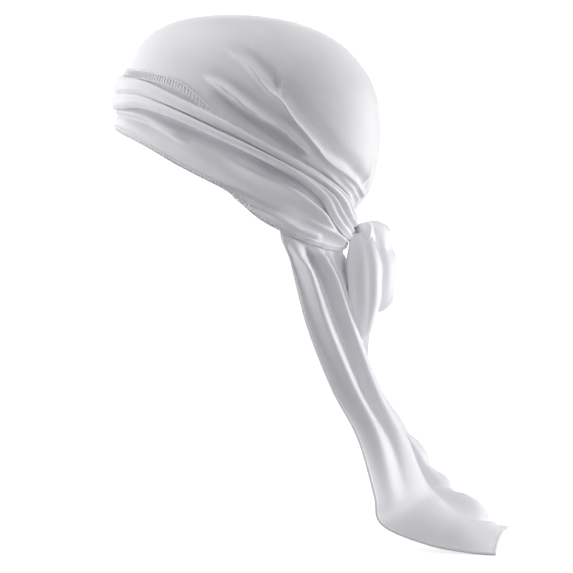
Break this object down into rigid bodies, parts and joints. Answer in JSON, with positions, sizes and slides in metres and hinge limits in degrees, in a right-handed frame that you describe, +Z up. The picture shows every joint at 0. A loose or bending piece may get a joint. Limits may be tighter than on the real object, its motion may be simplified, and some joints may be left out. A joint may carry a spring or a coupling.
{
  "type": "durag",
  "caption": "Soft white durag, worn and tied: a close crown with drag folds, straps wrapped round the head with a bow at the nape, and a long tail that hangs down to the table.",
  "frame": {"origin": "the point on the inside of the crown where the top of the head bears", "axes": "+Z up, +X from the brow to the knot at the nape, +Y to the wearer's right"},
  "size_m": [0.3056, 0.1676, 0.4011],
  "materials": {
    "crown_cloth": "thin white stretch knit, satin, pulled tight",
    "strap_cloth": "white satin knit, gathered, with overlocked edges",
    "tail_cloth": "white satin knit, hanging in soft folds, with a narrow rolled hem"
  },
  "bodies": {
    "root": {"crown": "crown_cloth", "strap_under": "strap_cloth", "strap_over": "strap_cloth", "tail": "tail_cloth", "knot": "strap_cloth", "bow_loop_left": "strap_cloth", "bow_loop_right": "strap_cloth", "strap_end_left": "strap_cloth", "strap_end_right": "strap_cloth"}
  },
  "joints": []
}
